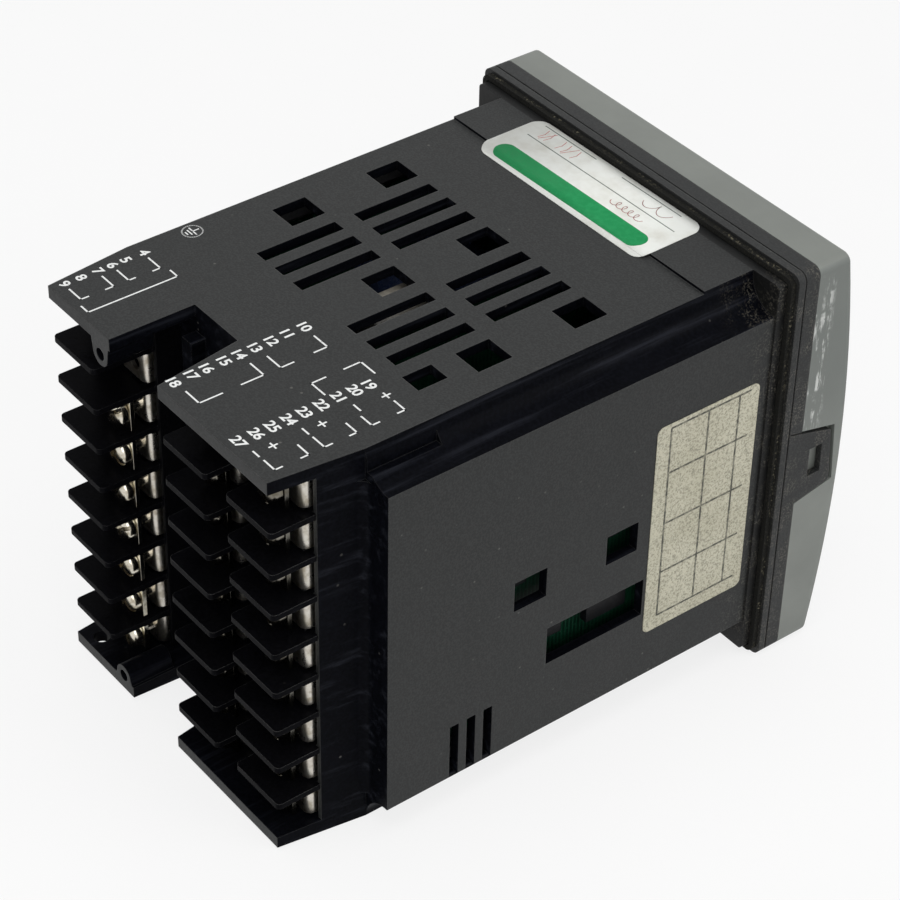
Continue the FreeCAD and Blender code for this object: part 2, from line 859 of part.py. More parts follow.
def make_bezel():
    """Crowned front with a window, key openings, screw posts and latch pockets."""
    front = -bezel_depth - 1
    outer = rounded_plate(front_half, front_half, front_corner, front, bezel_rear)
    outer = outer.common(under_crown(0))
    rim_edges = [edge for edge in outer.Edges
                 if edge.BoundBox.YMax < -flange_depth - bezel_side_depth + 1
                 and edge.Length < front_size * 1.2]
    outer = outer.makeFillet(bezel_edge_round, rim_edges)
    hollow = rounded_plate(bezel_half, bezel_half, front_corner / 2, front, 0)
    hollow = hollow.common(under_crown(bezel_wall))
    shell = outer.cut(hollow)
    extras = []
    pocket_floor = front_half - latch_thickness - latch_gap
    rear = bezel_rear - seal_thickness - bezel_gap
    for side in (-1, 1):
        inside = pocket_floor - bezel_wall
        low = min(side * inside, side * (bezel_half + 1))
        high = max(side * inside, side * (bezel_half + 1))
        extras.append(block(low, high, front, rear, -latch_bottom_root - bezel_wall,
                            latch_top_root + latch_top_gap + bezel_wall))
    for x in (-boss_post_x, boss_post_x):
        for z in (-boss_post_z, boss_post_z):
            start = vector(x, front, z)
            length = -frame_front - front
            extras.append(rod(boss_post_radius, length, start, vector(0, 1, 0)))
    inside_crown = under_crown(bezel_wall / 2)
    bezel = shell.multiFuse([piece.common(inside_crown) for piece in extras])
    cuts = []
    for side in (-1, 1):
        outline = latch_outline(latch_top_gap, latch_top_gap, latch_gap)
        outline = [(y + (1 if y > -flange_depth - 1 else 0), z) for y, z in outline]
        low = min(side * pocket_floor, side * (front_half + 1))
        high = max(side * pocket_floor, side * (front_half + 1))
        cuts.append(side_prism(outline, low, high))
    for x in (-boss_post_x, boss_post_x):
        for z in (-boss_post_z, boss_post_z):
            start = vector(x, -frame_front - boss_screw_length - 0.5, z)
            cuts.append(rod(screw_radius + screw_fit, boss_screw_length + 1, start,
                            vector(0, 1, 0)))
    cuts.append(rounded_plate(window_width / 2, window_height / 2, window_corner,
                              front, 0, 0, window_centre))
    for x, z in key_places():
        cuts.append(rounded_plate(key_width / 2, key_height / 2, key_corner, front, 0, x, z))
    return bezel.cut(group(cuts))


def make_window():
    """Tinted lens that fills the opening and bears on the inside of the bezel."""
    front = -bezel_depth - 1
    body = rounded_plate(window_width / 2 - window_gap, window_height / 2 - window_gap,
                         window_corner - window_gap, front, 0, 0, window_centre)
    lip = block(-window_width / 2 - window_lip, window_width / 2 + window_lip, front, 0,
                window_centre - window_height / 2 - window_lip,
                window_centre + window_height / 2 + window_lip)
    depth = bezel_wall + seat_gap + window_lip_thickness
    body = crown_band(body, window_recess, depth)
    return body.fuse(crown_band(lip, bezel_wall + seat_gap, depth)).removeSplitter()


board_front = -frame_front - board


def make_display(height, centre):
    """A display module between the front board and the back of the lens."""
    top = centre + height / 2
    depth = bezel_wall + seat_gap + window_lip_thickness + display_gap
    face = crown_y(top, depth)
    return block(-display_width / 2, display_width / 2, face, board_front,
                 centre - height / 2, top)


pad_top = board_front - mat_thickness - mat_pad_height


def make_key(x, z):
    """A key with a crowned top, a lip behind the bezel and a post towards its pad."""
    front = -bezel_depth - 2
    half_width = key_width / 2
    half_height = key_height / 2
    body = rounded_plate(half_width - key_gap, half_height - key_gap, key_corner - key_gap,
                         front, 0, x, z)
    lip = block(x - half_width - key_lip, x + half_width + key_lip, front, 0,
                z - half_height - key_lip, z + half_height + key_lip)
    lip_front = bezel_wall + key_gap
    depth = lip_front + key_lip_thickness
    body = crown_band(body, -key_rise, depth)
    lip = crown_band(lip, lip_front, depth)
    end = pad_top - key_travel - 0.1
    post = block(x - key_post_radius, x + key_post_radius, -bezel_depth + depth - 0.5, end,
                 z - key_post_radius, z + key_post_radius)
    return body.multiFuse([lip, post]).removeSplitter()


def make_keypad_mat():
    """Rubber sheet on the front board with a springy pad behind each key."""
    rear = board_front
    half_x = 1.5 * key_pitch + key_width / 2 + mat_margin
    low = key_row_lower - key_height / 2 - mat_margin
    high = key_row_upper + key_height / 2 + mat_margin
    sheet = block(-half_x, half_x, rear - mat_thickness, rear, low, high)
    half = mat_pad / 2
    pads = [block(x - half, x + half, pad_top, rear - mat_thickness / 2, z - half, z + half)
            for x, z in key_places()]
    return sheet.multiFuse(pads)


def make_display_board():
    half_x = boss_post_x - boss_post_radius - display_board_margin
    half_z = chassis_half - display_board_margin
    return block(-half_x, half_x, board_front, -frame_front, -half_z, half_z)


def make_seal():
    """Square seal inside the bezel's rim, in front of the flange."""
    outer = bezel_half - seat_gap
    inner = outer - seal_width
    front = bezel_rear - seal_thickness
    corner = front_corner / 2
    ring = rounded_plate(outer, outer, corner, front, bezel_rear)
    return ring.cut(rounded_plate(inner, inner, corner, front - 1, bezel_rear + 1))


rear_frame = rear_board_face - frame_plate


def make_frame():
    """Front plate, rear plate and four rails that follow the coves of the sleeve."""
    window = chassis_half - frame_window_margin
    front_plate = coved(chassis_half, chassis_cove, -frame_front, -frame_front + frame_plate)
    rear_plate = coved(chassis_half, chassis_cove, rear_frame, rear_board_face)
    opening = block(-window, window, -frame_front - 1, rear_board_face + 1, -window, window)
    rails = coved(chassis_half, chassis_cove, -frame_front, rear_board_face)
    rails = rails.cut(coved(chassis_half - frame_rail, chassis_cove + frame_rail,
                            -frame_front - 1, rear_board_face + 1))
    keep = chassis_half - frame_rail_reach
    rails = rails.cut(block(-keep, keep, -frame_front - 1, rear_board_face + 1,
                            -front_half, front_half))
    rails = rails.cut(block(-front_half, front_half, -frame_front - 1, rear_board_face + 1,
                            -keep, keep))
    frame = front_plate.multiFuse([rear_plate]).cut(opening)
    frame = frame.multiFuse(rails.Solids)
    holes = []
    for x in (-boss_post_x, boss_post_x):
        for z in (-boss_post_z, boss_post_z):
            start = vector(x, -frame_front - 1, z)
            holes.append(rod(screw_radius + 2 * screw_fit, frame_plate + 2, start,
                             vector(0, 1, 0)))
    return frame.cut(group(holes)).removeSplitter()


def make_frame_screw(x, z):
    """A screw through the front plate into a post of the bezel."""
    face = -frame_front + frame_plate
    shank_length = boss_screw_length + frame_plate
    shank = faceted_rod(shank_sides, screw_radius, shank_length,
                        vector(x, face - shank_length, z))
    head = faceted_rod(head_sides, frame_head_radius, frame_head_height, vector(x, face, z))
    return shank.fuse(head)


board_start = -frame_front + frame_plate
side_board_start = board_start + frame_head_height + side_board_gap
board_end = rear_frame
cove_reach = math.sqrt((chassis_cove + frame_rail) ** 2 - (side_board_inset + slide_gap
                       + sleeve_wall) ** 2)
side_board_half = sleeve_half - cove_reach - side_board_gap
side_board_outer = chassis_half - side_board_inset + 0.4


def make_side_board(side):
    """A circuit board held between the frame's plates, close to one side."""
    outer = side * side_board_outer
    inner = side * (side_board_outer - board)
    return block(min(outer, inner), max(outer, inner), side_board_start, board_end,
                 -side_board_half, side_board_half)


def make_middle_board():
    half = chassis_half - frame_rail - side_board_gap
    return block(middle_board_x - board / 2, middle_board_x + board / 2,
                 board_start, board_end, -half, half)


def make_rear_board():
    return coved(chassis_half, chassis_cove, rear_board_face, rear_board_face + board)


def make_connector(column):
    """A strip that takes the legs of one column of terminals."""
    centre = column["plate_near"] + plate_thickness / 2
    front = rear_board_face + board
    rear = front + connector_depth
    body = block(centre - connector_width / 2, centre + connector_width / 2, front, rear,
                 -connector_height / 2, connector_height / 2)
    slot = plate_thickness / 2 + leg_clearance
    top = bay_centre(0) + leg_height / 2 + leg_clearance
    bottom = bay_centre(bay_count - 1) - leg_height / 2 - leg_clearance
    return body.cut(block(centre - slot, centre + slot, rear - connector_slot_depth,
                          rear + 1, bottom, top))


board_inner = side_board_outer - board
relay_top = inner_half - relay_top_gap - slide_gap


def make_relays():
    """A relay on the middle board and one on the board at the near side."""
    half = relay_length / 2
    low = relay_top - relay_height
    middle = middle_board_x + board / 2
    return [
        block(middle, middle + relay_width, relay_row - half, relay_row + half, low, relay_top),
        block(-board_inner, -board_inner + relay_width, relay_row - half, relay_row + half,
              side_board_half - relay_height, side_board_half),
    ]


def make_transformer():
    """A laminated core that stands on the far board, and the winding through it."""
    z = -core_drop
    core = block(board_inner - core_height, board_inner,
                 core_row - core_length / 2, core_row + core_length / 2,
                 z - core_stack / 2, z + core_stack / 2)
    middle_x = board_inner - core_height / 2
    half_x = core_height / 2 - core_length / 6
    window = core_length / 6
    slots = []
    for side in (-1, 1):
        y = core_row + side * window
        slots.append(block(middle_x - half_x, middle_x + half_x,
                           y - window / 2, y + window / 2, z - core_stack, z + core_stack))
    core = core.cut(group(slots))
    limb = window / 2
    winding = block(middle_x - half_x + seat_gap, middle_x + half_x - seat_gap,
                    core_row - window * 1.5 + seat_gap, core_row + window * 1.5 - seat_gap,
                    z - core_stack / 2 - winding_overhang, z + core_stack / 2 + winding_overhang)
    tunnel = block(middle_x - half_x - 1, middle_x + half_x + 1,
                   core_row - limb - seat_gap, core_row + limb + seat_gap,
                   z - core_stack / 2 - seat_gap, z + core_stack / 2 + seat_gap)
    return core, winding.cut(tunnel)


def make_capacitors():
    """Two upright capacitors on the far board."""
    cans = []
    for place in (0, 1):
        start = vector(board_inner, capacitor_row + place * capacitor_pitch, capacitor_rise)
        cans.append(rod(capacitor_radius, capacitor_length, start, vector(-1, 0, 0)))
    return cans


def make_heat_sink():
    """A finned plate that stands on the far board behind the transformer."""
    y = sink_row
    low = -sink_drop - sink_height / 2
    pieces = [block(board_inner - sink_base, board_inner, y - sink_length / 2,
                    y + sink_length / 2, low, low + sink_height)]
    pitch = (sink_length - sink_fin) / (sink_fins - 1)
    for fin in range(sink_fins):
        start = y - sink_length / 2 + fin * pitch
        pieces.append(block(board_inner - sink_base - sink_fin_reach, board_inner - sink_base,
                            start, start + sink_fin, low, low + sink_height))
    return fuse(pieces)


def make_chips():
    """Flat packages on the outer face of the near board, in view of the side windows."""
    face = -side_board_outer
    chips = []
    rows = (
        (long_window_row - driver_chip_offset, -long_window_drop,
         driver_chip_length, driver_chip_width),
        (long_window_row + small_chip_offset, -long_window_drop,
         small_chip_length, small_chip_width),
        (square_row_rear, 0.0, small_chip_width, small_chip_width * 0.75),
        (square_row_front, small_chip_width / 4, small_chip_length, small_chip_width),
        (long_window_row, main_chip_rise, main_chip, main_chip),
    )
    for y, z, length, height in rows:
        chips.append(block(face - chip_height, face, y - length / 2, y + length / 2,
                           z - height / 2, z + height / 2))
    return chips


def make_option_chips():
    """Flat packages on the middle board."""
    face = middle_board_x - board / 2
    chips = []
    rear_row = chip_row + chip_row_pitch
    for y, z in ((chip_row, chip_rise), (chip_row, -chip_drop), (rear_row, -chip_drop)):
        chips.append(block(face - chip_height, face, y - chip_length / 2, y + chip_length / 2,
                           z - chip_width / 2, z + chip_width / 2))
    return chips


os.makedirs("parts", exist_ok=True)
save("case", make_case())
save("panel_gasket", make_gasket())
save("terminal_block_left", make_block_left())
save("terminal_block_right", make_block_right())
save("terminal_plates", group(make_terminal_plates()))
save("square_washers", group([make_square_washer(place) for place in screw_places()]))
save("terminal_screws", group([make_terminal_screw(place) for place in screw_places()]))
save("top_sticker", make_top_sticker())
save("side_label", make_side_label())
save("front_bezel", make_bezel())
save("display_window", make_window())
save("display_upper", make_display(upper_display_height, window_centre + upper_display_rise))
save("display_lower", make_display(lower_display_height, window_centre - lower_display_drop))
for number, (key_x, key_z) in enumerate(key_places(), start=1):
    save("key_" + str(number), make_key(key_x, key_z))
save("keypad_mat", make_keypad_mat())
save("display_board", make_display_board())
save("bezel_seal", make_seal())
save("chassis_frame", make_frame())
save("frame_screws", group([make_frame_screw(x, z) for x in (-boss_post_x, boss_post_x)
                            for z in (-boss_post_z, boss_post_z)]))
save("processor_board", make_side_board(-1))
save("processor_chips", group(make_chips()))
save("power_board", make_side_board(1))
save("option_board", make_middle_board())
save("option_chips", group(make_option_chips()))
save("relays", group(make_relays()))
transformer_core, transformer_winding = make_transformer()
save("transformer_core", transformer_core)
save("transformer_winding", transformer_winding)
save("capacitors", group(make_capacitors()))
save("heat_sink", make_heat_sink())
save("rear_board", make_rear_board())
save("board_connectors", group([make_connector(column) for column in columns]))
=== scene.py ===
import math
import random

import bmesh
import bpy
from mathutils import Matrix, Vector


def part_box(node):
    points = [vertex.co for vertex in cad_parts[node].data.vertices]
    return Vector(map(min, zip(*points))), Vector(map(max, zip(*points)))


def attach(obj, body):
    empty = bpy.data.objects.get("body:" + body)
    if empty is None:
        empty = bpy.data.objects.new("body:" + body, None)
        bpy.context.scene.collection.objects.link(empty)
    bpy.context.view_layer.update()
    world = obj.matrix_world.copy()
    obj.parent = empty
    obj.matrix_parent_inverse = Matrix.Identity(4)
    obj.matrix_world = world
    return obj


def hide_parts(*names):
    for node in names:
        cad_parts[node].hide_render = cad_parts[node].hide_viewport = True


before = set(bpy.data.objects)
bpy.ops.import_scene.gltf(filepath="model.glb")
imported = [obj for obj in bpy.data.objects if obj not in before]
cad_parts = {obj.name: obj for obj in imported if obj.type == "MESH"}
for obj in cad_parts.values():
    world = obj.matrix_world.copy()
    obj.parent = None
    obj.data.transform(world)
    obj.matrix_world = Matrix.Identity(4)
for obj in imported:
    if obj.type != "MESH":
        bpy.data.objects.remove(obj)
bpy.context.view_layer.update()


# The case is one thin-walled moulding in black flame-retardant plastic: flange, coved sleeve
# and the hoods over the terminals. It leaves the mould with a fine spark-eroded grain on its
# outer faces and picks up scuffs and pale dust in handling. Its pale edges are partly scuffs
# and partly painted highlight. The faces in its coves, holes and hoods take a darker copy of
# the plastic with a smoother skin and a weak reflection, which is partly painted shade.
MM = 0.001


def node(tree, kind, inputs, **settings):
    """A shader node with its settings made and its inputs set or linked."""
    made = tree.nodes.new("ShaderNode" + kind)
    for name, value in settings.items():
        setattr(made, name, value)
    for name, value in inputs.items():
        if isinstance(value, bpy.types.NodeSocket):
            tree.links.new(value, made.inputs[name])
        else:
            made.inputs[name].default_value = value
    return made


def calc(tree, operation, a, b=0.0):
    return node(tree, "Math", {0: a, 1: b}, operation=operation).outputs[0]


def noise(tree, where, scale, detail=2.0, rough=0.5):
    made = node(tree, "TexNoise", {"Vector": where, "Scale": scale, "Detail": detail,
                                   "Roughness": rough})
    return made.outputs["Fac"]


def ramp(tree, value, low, high, start=0.0, end=1.0):
    """Value mapped smoothly from the span low to high onto the span start to end."""
    made = node(tree, "MapRange", {"Value": value, "From Min": low, "From Max": high,
                                   "To Min": start, "To Max": end},
                interpolation_type="SMOOTHSTEP")
    return made.outputs["Result"]


def mix(tree, share, first, second):
    made = node(tree, "Mix", {0: share, 6: first, 7: second}, data_type="RGBA")
    return made.outputs[2]


def colour(red, green, blue):
    return (red, green, blue, 1.0)


def bump(tree, height, distance, strength=1.0, normal=None):
    inputs = {"Height": height, "Distance": distance, "Strength": strength}
    if normal is not None:
        inputs["Normal"] = normal
    return node(tree, "Bump", inputs).outputs["Normal"]


def finish(name, base, rough, **values):
    """A new material with its constants on the shader's own sockets."""
    material = bpy.data.materials.new(name)
    material.use_nodes = True
    tree = material.node_tree
    shader = tree.nodes["Principled BSDF"]
    shader.inputs["Base Color"].default_value = base
    shader.inputs["Roughness"].default_value = rough
    for socket, value in values.items():
        shader.inputs[socket.replace("_", " ")].default_value = value
    where = tree.nodes.new("ShaderNodeTexCoord").outputs["Object"]
    return material, tree, shader, where


def wire(tree, shader, **sources):
    for socket, source in sources.items():
        tree.links.new(source, shader.inputs[socket.replace("_", " ")])


def position(tree, where):
    return node(tree, "SeparateXYZ", {"Vector": where}).outputs


def specks(tree, where, scale, size, share):
    """Scattered round specks, a share of the cells of a Voronoi pattern."""
    cells = node(tree, "TexVoronoi", {"Vector": where, "Scale": scale, "Randomness": 1.0})
    near = ramp(tree, cells.outputs["Distance"], size, size * 0.4)
    picked = node(tree, "SeparateColor", {"Color": cells.outputs["Color"]}).outputs[0]
    chosen = calc(tree, "LESS_THAN", picked, share)
    return calc(tree, "MULTIPLY", near, chosen)


def dress(thing, material):
    thing.data.materials.clear()
    thing.data.materials.append(material)


def moulded(name, dark, sheen, specular, grain_scale, grain_depth, edge_size, wear_and_highlight, dust):
    """Black plastic with mould grain, patchy gloss, pale edges and dust. The pale edges are
    partly wear and partly painted highlight; edges that face up are paler than those that face
    down, which is painted light from above. Returns the parts of the material and its last
    colour."""
    material, tree, shader, where = finish(name, dark, sheen, Specular_IOR_Level=specular)
    rounded = node(tree, "Bevel", {"Radius": edge_size}, samples=4).outputs["Normal"]
    shading_normal = tree.nodes.new("ShaderNodeNewGeometry").outputs["Normal"]
    bent = node(tree, "VectorMath", {0: rounded, 1: shading_normal}, operation="DOT_PRODUCT")
    edge = ramp(tree, bent.outputs["Value"], 0.97, 0.84)
    # Painted highlight: edges that face up get up to the full pale edge colour, and those that
    # face down about a third of it.
    painted_top_light = ramp(tree, position(tree, rounded)[2], -0.2, 0.5, 0.35, 1.0)
    edge = calc(tree, "MULTIPLY", edge, painted_top_light)
    patches = noise(tree, where, 90.0, 4.0, 0.6)
    grain = noise(tree, where, grain_scale, 2.0)
    fine = noise(tree, where, grain_scale * 2.6, 1.0)
    flecks = specks(tree, where, 420.0, 0.16, 0.10)
    flecks = calc(tree, "MULTIPLY", flecks, ramp(tree, patches, 0.42, 0.62))
    worn_and_highlit = calc(tree, "MULTIPLY", edge, ramp(tree, patches, 0.35, 0.7, wear_and_highlight * 0.4, wear_and_highlight))
    base = mix(tree, ramp(tree, patches, 0.3, 0.7), dark,
               colour(dark[0] * 1.3, dark[1] * 1.3, dark[2] * 1.3))
    mottled = ramp(tree, grain, 0.4, 0.64)
    base = mix(tree, calc(tree, "MULTIPLY", mottled, 0.4), base,
               colour(dark[0] * 2.6, dark[1] * 2.6, dark[2] * 2.6))
    # The pale edge colour is partly wear and partly painted highlight.
    base = mix(tree, worn_and_highlit, base, colour(0.16, 0.16, 0.155))
    base = mix(tree, calc(tree, "MULTIPLY", flecks, dust), base, colour(0.28, 0.27, 0.25))
    rough = calc(tree, "ADD", sheen - 0.08, ramp(tree, patches, 0.25, 0.75, 0.0, 0.16))
    height = calc(tree, "ADD", grain, calc(tree, "MULTIPLY", fine, 0.4))
    wire(tree, shader, Base_Color=base, Roughness=rough,
         Normal=bump(tree, height, grain_depth, 0.8, rounded))
    return material, tree, shader, where, base


def refined(name, cad_node, material, body, width=0.0, segments=2, other=None,
            chosen=None):
    """The CAD node's mesh with whole flat faces, smooth curves and eased edges; the faces that
    the function chosen picks take the material other."""
    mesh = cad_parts[cad_node].data.copy()
    form = bmesh.new()
    form.from_mesh(mesh)
    bmesh.ops.remove_doubles(form, verts=form.verts, dist=0.002 * MM)
    bmesh.ops.dissolve_limit(form, angle_limit=math.radians(0.6), verts=form.verts,
                             edges=form.edges, use_dissolve_boundaries=False)
    for face in form.faces:
        face.smooth = True
        face.material_index = 1 if chosen and chosen(face) else 0
    for edge in form.edges:
        edge.smooth = len(edge.link_faces) == 2 and edge.calc_face_angle(0.0) < 0.45
    form.to_mesh(mesh)
    form.free()
    picks = [polygon.material_index for polygon in mesh.polygons]
    mesh.name = name
    thing = bpy.data.objects.new(name, mesh)
    bpy.context.scene.collection.objects.link(thing)
    if width:
        eased = thing.modifiers.new("eased_edges", "BEVEL")
        eased.width = width
        eased.segments = segments
        eased.limit_method = "ANGLE"
        eased.angle_limit = 0.6
        eased.harden_normals = True
    dress(thing, material)
    if other:
        mesh.materials.append(other)
        mesh.polygons.foreach_set("material_index", picks)
    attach(thing, body)
    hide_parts(cad_node)
    return thing


rim_rear = 3.2 * MM
side_skin = 40.0 * MM
top_skin = 44.0 * MM
rear_skin = 100.0 * MM


# The faces this picks take the darker cove plastic, which is partly painted shade.
def polished_face(face):
    """Whether a face of the case lies in a cove, a hole or a hood, inside the grained skins."""
    spot = face.calc_center_median()
    facing = [abs(value) > 0.9 for value in face.normal]
    if spot.y < rim_rear:
        return False
    if facing[0]:
        return abs(spot.x) < side_skin
    if facing[1]:
        return spot.y < rear_skin
    return not facing[2] or abs(spot.z) < top_skin


# Painted shade, in part: the coves, holes and hoods get this much darker copy of the black
# plastic, with a weaker reflection.
cove_shaded_black, tree, shader, where, base = moulded(
    "cove_shaded_black_plastic", colour(0.0018, 0.0020, 0.0030), 0.3, 0.015, 1500.0, 0.010 * MM,
    0.3 * MM, 0.2, 0.3)
x, y, z = position(tree, where)
grit = ramp(tree, noise(tree, where, 2400.0, 3.0, 0.7), 0.5, 0.62)
near_front = ramp(tree, y, 15.0 * MM, 2.0 * MM)
patchy = ramp(tree, noise(tree, where, 260.0, 3.0), 0.42, 0.6)
dusty = calc(tree, "MULTIPLY", calc(tree, "MULTIPLY", near_front, grit), patchy)
# Painted reflection: bright streaks along Y lighten the cove's colour.
reflection_stretch = node(tree, "Mapping", {"Vector": where, "Scale": (1.0, 0.04, 1.0)}).outputs[0]
painted_reflection_streaks = ramp(tree, noise(tree, reflection_stretch, 460.0, 4.0, 0.65), 0.5, 0.78, 0.0, 0.6)
base = mix(tree, painted_reflection_streaks, base, colour(0.024, 0.026, 0.034))
base = mix(tree, calc(tree, "MULTIPLY", dusty, 0.5), base, colour(0.13, 0.12, 0.1))
wire(tree, shader, Base_Color=base)

case_black, tree, shader, where, base = moulded(
    "case_black_plastic", colour(0.0165, 0.0172, 0.0172), 0.5, 0.16, 2400.0, 0.03 * MM,
    0.4 * MM, 0.45, 0.25)
x, y, z = position(tree, where)
grit = ramp(tree, noise(tree, where, 2400.0, 3.0, 0.7), 0.5, 0.66)
near_front = ramp(tree, y, 13.0 * MM, 1.0 * MM)
near_side = ramp(tree, x, -39.0 * MM, -44.0 * MM)
cove_dust = calc(tree, "MULTIPLY", calc(tree, "MULTIPLY", near_front, near_side), grit)
patchy = ramp(tree, noise(tree, where, 260.0, 3.0), 0.38, 0.62)
cove_dust = calc(tree, "MULTIPLY", cove_dust, patchy)
on_rim = calc(tree, "MULTIPLY", ramp(tree, y, -0.1 * MM, 0.1 * MM),
              ramp(tree, y, 3.3 * MM, 3.1 * MM))
base = mix(tree, calc(tree, "MULTIPLY", on_rim, 0.75), base, colour(0.003, 0.003, 0.003))
base = mix(tree, calc(tree, "MULTIPLY", cove_dust, 0.45), base, colour(0.18, 0.165, 0.135))
wire(tree, shader, Base_Color=base)
refined("case_moulding", "case", case_black, "case", other=cove_shaded_black,
        chosen=polished_face)


# The terminal numbers and wiring brackets are pad printed in white ink on the top of the hoods,
# read from the rear. The numbers are plain figures; each bracket joins the terminals of one
# circuit, and a ringed earth sign marks the earth terminal.
white_ink, tree, shader, where = finish("white_ink", colour(0.72, 0.73, 0.72), 0.5)
thin = noise(tree, where, 1500.0, 3.0, 0.65)
wire(tree, shader, Base_Color=mix(tree, ramp(tree, thin, 0.56, 0.74), colour(0.76, 0.77, 0.76),
                                  colour(0.3, 0.3, 0.3)),
     Roughness=ramp(tree, thin, 0.3, 0.7, 0.4, 0.6))
hood_top = 45.3 * MM
ink_lift = 0.02 * MM
ink_level = hood_top + ink_lift
stroke = 0.36 * MM
thin_stroke = 0.28 * MM


def ribbon(form, points, width, level):
    """A flat printed line through (x, y) points in millimetres, with square corners."""
    for start, end in zip(points, points[1:]):
        way = Vector((end[0] - start[0], end[1] - start[1], 0)) * MM
        middle = ((start[0] + end[0]) / 2 * MM, (start[1] + end[1]) / 2 * MM, level)
        made = bmesh.ops.create_grid(form, x_segments=1, y_segments=1, size=0.5)["verts"]
        bmesh.ops.scale(form, verts=made, vec=(way.length + width, width, 1.0))
        bmesh.ops.rotate(form, verts=made,
                         matrix=Matrix.Rotation(math.atan2(way.y, way.x), 3, "Z"))
        bmesh.ops.translate(form, verts=made, vec=middle)


def put(name, form, material, body, sheet=False):
    """A new piece from a finished bmesh, placed where its mesh says. A sheet's faces already
    look up, and those of a closed form are turned outwards."""
    if sheet:
        form.normal_update()
    else:
        bmesh.ops.recalc_face_normals(form, faces=form.faces)
    mesh = bpy.data.meshes.new(name)
    form.to_mesh(mesh)
    form.free()
    thing = bpy.data.objects.new(name, mesh)
    bpy.context.scene.collection.objects.link(thing)
    dress(thing, material)
    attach(thing, body)
    return thing


def printed_figures(form, words, height, widen, level):
    """Adds figures to a bmesh that read from the rear; each word is (text, x, y), with the
    place of its start in millimetres."""
    for text, x, y in words:
        curve = bpy.data.curves.new("figure", "FONT")
        curve.body = text
        curve.size = height / 0.7
        curve.offset = 0.034 * height
        curve.space_character = 0.92
        curve.resolution_u = 3
        holder = bpy.data.objects.new("figure", curve)
        bpy.context.scene.collection.objects.link(holder)
        mesh = bpy.data.meshes.new_from_object(holder)
        mesh.transform(Matrix.Translation((x * MM, y * MM, level))
                       @ Matrix.Diagonal((-widen, -1.0, 1.0, 1.0)))
        form.from_mesh(mesh)
        bpy.data.objects.remove(holder)
        bpy.data.curves.remove(curve)
        bpy.data.meshes.remove(mesh)


legend = bmesh.new()
brackets = (
    [(32.9, 93.0), (28.8, 93.0), (28.8, 94.6)],
    [(32.9, 100.0), (28.9, 100.0), (28.9, 98.6)],
    [(32.9, 103.3), (28.9, 103.3), (28.9, 105.0)],
    [(32.9, 110.5), (28.9, 110.5), (28.9, 108.9)],
    [(27.0, 91.9), (24.6, 91.9), (24.6, 111.6), (26.9, 111.6)],
    [(-6.2, 82.2), (-10.3, 82.2), (-10.3, 85.1)],
    [(-6.3, 92.7), (-10.5, 92.7), (-10.5, 89.9)],
    [(-6.3, 96.4), (-10.5, 96.4), (-10.5, 101.2)],
    [(-6.4, 110.4), (-10.6, 110.4), (-10.6, 105.5)],
    [(-21.8, 80.0), (-17.6, 80.0), (-17.6, 83.7)],
    [(-17.6, 87.9), (-17.6, 91.0), (-21.7, 91.0)],
    [(-30.6, 82.1), (-33.8, 82.1), (-33.8, 83.7)],
    [(-30.8, 89.5), (-33.9, 89.5), (-33.9, 87.9)],
    [(-30.8, 92.8), (-34.0, 92.8), (-34.0, 94.3)],
    [(-30.6, 99.8), (-34.0, 99.8), (-34.0, 98.2)],
    [(-30.8, 103.2), (-34.1, 103.2), (-34.1, 104.8)],
    [(-30.9, 110.4), (-34.1, 110.4), (-34.1, 108.9)],
    [(-27.3, 88.6), (-29.2, 88.6)], [(-27.5, 99.9), (-29.3, 99.9)],
    [(-27.7, 110.5), (-29.4, 110.5)],
)
for line in brackets:
    ribbon(legend, line, stroke, ink_level)
for plus_y in (82.3, 96.3, 106.8):
    ribbon(legend, [(-27.6, plus_y), (-29.2, plus_y)], stroke, ink_level)
    ribbon(legend, [(-28.4, plus_y - 0.8), (-28.4, plus_y + 0.8)], stroke,
           ink_level + ink_lift * 0.2)
figure_height = 2.1 * MM
half_figure = 1.1
for first, start_x, rows in (
        (4, 35.8, (92.6, 96.7, 99.7, 102.9, 106.6, 110.2)),
        (10, -0.9, (81.9, 85.7, 89.3, 92.9, 96.4, 99.7, 103.5, 106.8, 110.6)),
        (19, -22.2, (82.8, 85.8, 89.3, 93.1, 96.8, 100.2, 103.7, 107.1, 110.9))):
    figures = [(str(first + step), start_x, row + half_figure) for step, row in enumerate(rows)]
    printed_figures(legend, figures, figure_height, 1.15, ink_level)
earth_x = 35.6
ring_steps = 28
ring = [(earth_x + 2.0 * math.cos(step * math.tau / ring_steps),
         81.3 + 2.05 * math.sin(step * math.tau / ring_steps)) for step in range(ring_steps + 1)]
ribbon(legend, ring, thin_stroke, ink_level)
ribbon(legend, [(earth_x, 79.9), (earth_x, 81.2)], thin_stroke, ink_level)
for half_bar, bar_y in ((1.3, 81.2), (0.8, 81.9), (0.4, 82.6)):
    ribbon(legend, [(earth_x - half_bar, bar_y), (earth_x + half_bar, bar_y)], thin_stroke,
           ink_level)
put("printed_legend", legend, white_ink, "case", sheet=True)


